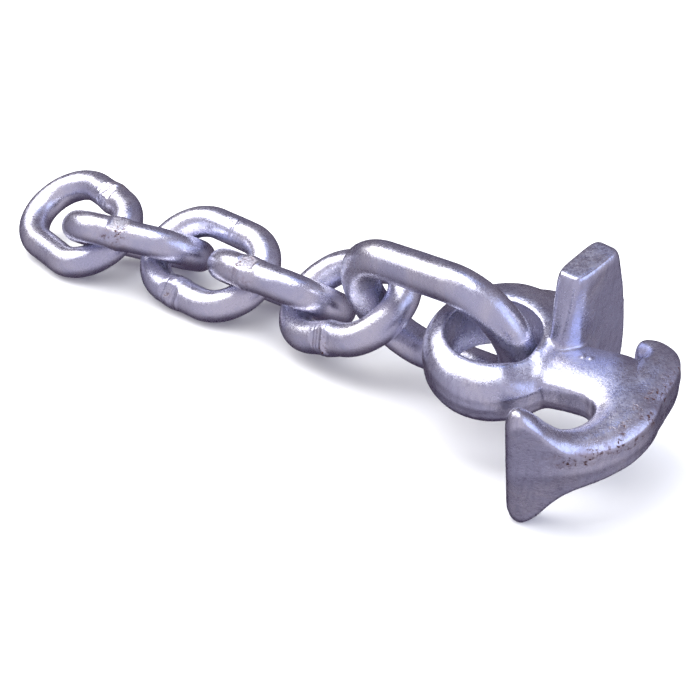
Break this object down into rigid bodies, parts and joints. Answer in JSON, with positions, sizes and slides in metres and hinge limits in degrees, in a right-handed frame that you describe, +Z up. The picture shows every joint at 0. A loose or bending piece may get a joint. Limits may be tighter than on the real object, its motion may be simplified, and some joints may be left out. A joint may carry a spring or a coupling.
{
  "type": "anchor-shaped chain hook",
  "caption": "Forged anchor-shaped hook with a domed eye, upright cross blade, flared palm and short nub, on a larger oblong link and a short welded chain, all bright zinc plated.",
  "frame": {"origin": "on the floor, at the middle of the rectangle that the resting object covers", "axes": "+Z up, +X from the free end of the chain towards the hook, +Y from the palm side towards the free end of the chain"},
  "size_m": [0.1962, 0.184, 0.0576],
  "materials": {
    "zinc_forging": "bright zinc electroplate over a shot-blasted forging, bluish, pitted and lightly rusted along the crown",
    "zinc_long_link": "bright zinc electroplate, smooth and bluish",
    "zinc_chain": "bright zinc electroplate over drawn wire, bluish, with weld and grip marks"
  },
  "bodies": {
    "anchor_forging": {"anchor_forging": "zinc_forging"},
    "long_link": {"long_link": "zinc_long_link"},
    "chain_link_5": {"chain_link_5": "zinc_chain"},
    "chain_link_4": {"chain_link_4": "zinc_chain"},
    "chain_link_3": {"chain_link_3": "zinc_chain"},
    "chain_link_2": {"chain_link_2": "zinc_chain"},
    "chain_link_1": {"chain_link_1": "zinc_chain"}
  },
  "joints": [
    {"name": "long_link_in_eye", "type": "hinge", "parent": "anchor_forging", "child": "long_link", "pos_m": [0.03848, -0.03067, 0.02847], "axis": [0.6319, 0.7452, 0.2129], "range_deg": [-12, 60]},
    {"name": "link_5_in_long_link", "type": "hinge", "parent": "long_link", "child": "chain_link_5", "pos_m": [0.0158, -0.00409, 0.02527], "axis": [0.411, 0.2283, -0.8826], "range_deg": [-60, 60]},
    {"name": "link_4_in_link_5", "type": "hinge", "parent": "chain_link_5", "child": "chain_link_4", "pos_m": [-0.00259, 0.01537, 0.01259], "axis": [0.4072, 0.5778, 0.7074], "range_deg": [-60, 60]},
    {"name": "link_3_in_link_4", "type": "hinge", "parent": "chain_link_4", "child": "chain_link_3", "pos_m": [-0.02497, 0.03349, 0.01338], "axis": [0.4114, 0.5179, -0.75], "range_deg": [-60, 60]},
    {"name": "link_2_in_link_3", "type": "hinge", "parent": "chain_link_3", "child": "chain_link_2", "pos_m": [-0.04701, 0.05186, 0.01375], "axis": [0.322, 0.5308, 0.784], "range_deg": [-60, 60]},
    {"name": "link_1_in_link_2", "type": "hinge", "parent": "chain_link_2", "child": "chain_link_1", "pos_m": [-0.06458, 0.05289, 0.01134], "axis": [0.3188, 0.5681, 0.7587], "range_deg": [-60, 60]}
  ]
}
